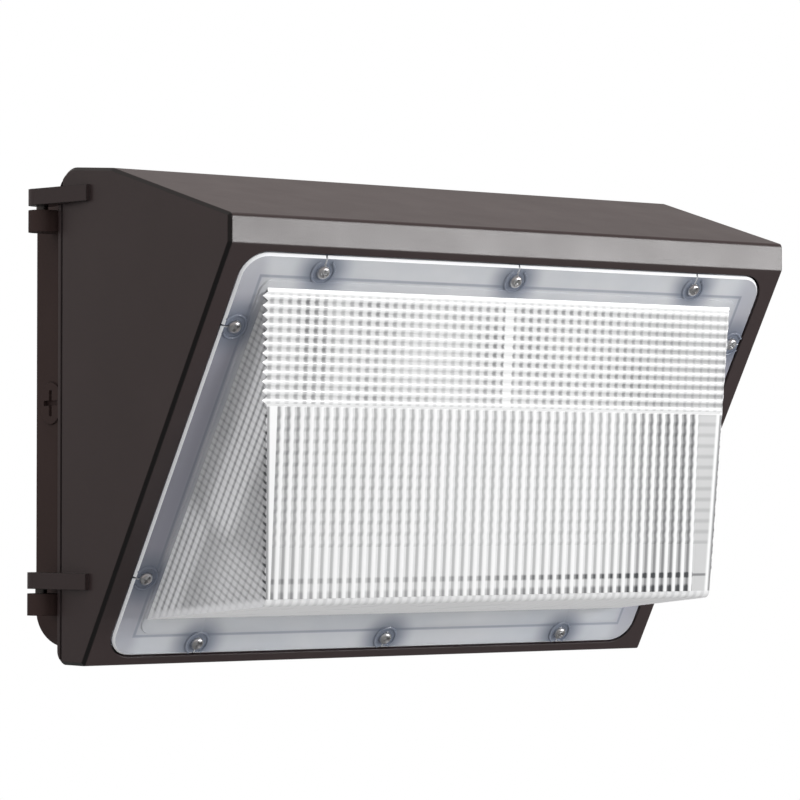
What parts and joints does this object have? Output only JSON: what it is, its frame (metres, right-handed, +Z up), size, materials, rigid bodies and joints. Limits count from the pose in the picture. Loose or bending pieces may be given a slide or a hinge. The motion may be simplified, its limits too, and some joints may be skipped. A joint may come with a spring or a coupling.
{
  "type": "outdoor wall light",
  "caption": "Die-cast outdoor wall light: shallow rear box, hooded front housing hinged on its left, and a clear prismatic lens set in the sloping front.",
  "frame": {"origin": "centre of the wall face of the rear box, at the middle of the wall-screw pattern", "axes": "+Y into the wall, front towards -Y, +Z up, +X to the right seen from the front"},
  "size_m": [0.385, 0.181, 0.2477],
  "materials": {
    "housing_paint": "fine-textured dark bronze powder coat",
    "lens_clear": "clear moulded polycarbonate",
    "gasket_silicone": "pale silicone",
    "seal_rubber": "dark silicone sponge",
    "screw_steel": "zinc-plated",
    "pin_steel": "dark steel",
    "plate_aluminium": "plain sheet",
    "reflector_white": "white, satin",
    "board_white": "white solder mask",
    "led_phosphor": "phosphor dome",
    "plug_nylon": "natural nylon",
    "driver_metal": "white, satin",
    "driver_plastic": "black",
    "terminal_plastic": "cream",
    "clamp_brass": "plain",
    "ground_green": "green"
  },
  "bodies": {
    "rear": {"back_box": "housing_paint", "conduit_plug_left": "housing_paint", "conduit_plug_right": "housing_paint", "driver_case": "driver_metal", "driver_end_left": "driver_plastic", "driver_end_right": "driver_plastic", "driver_screws": "screw_steel", "terminal_block": "terminal_plastic", "terminal_clamps": "clamp_brass", "terminal_screws": "screw_steel", "ground_screw": "ground_green"},
    "door": {"front_housing": "housing_paint", "lens": "lens_clear", "lens_gasket": "gasket_silicone", "door_seal": "seal_rubber", "lens_screws": "screw_steel", "plate_screws": "screw_steel", "board_screws": "screw_steel", "hinge_pin_upper": "pin_steel", "hinge_pin_lower": "pin_steel", "led_plate": "plate_aluminium", "reflector": "reflector_white", "led_board_left": "board_white", "led_board_middle": "board_white", "led_board_right": "board_white", "led_emitters_left": "led_phosphor", "led_emitters_middle": "led_phosphor", "led_emitters_right": "led_phosphor", "board_plugs": "plug_nylon"},
    "latch_upper": {"latch_screw_upper": "screw_steel", "latch_ring_upper": "plug_nylon"},
    "latch_lower": {"latch_screw_lower": "screw_steel", "latch_ring_lower": "plug_nylon"}
  },
  "joints": [
    {"name": "door_hinge", "type": "hinge", "parent": "rear", "child": "door", "pos_m": [-0.1825, -0.022, 0], "axis": [0, 0, -1], "range_deg": [0, 100]},
    {"name": "latch_upper_slide", "type": "slide", "parent": "door", "child": "latch_upper", "axis": [0, -1, 0], "range_m": [0, 0.01]},
    {"name": "latch_lower_slide", "type": "slide", "parent": "door", "child": "latch_lower", "axis": [0, -1, 0], "range_m": [0, 0.01]}
  ]
}
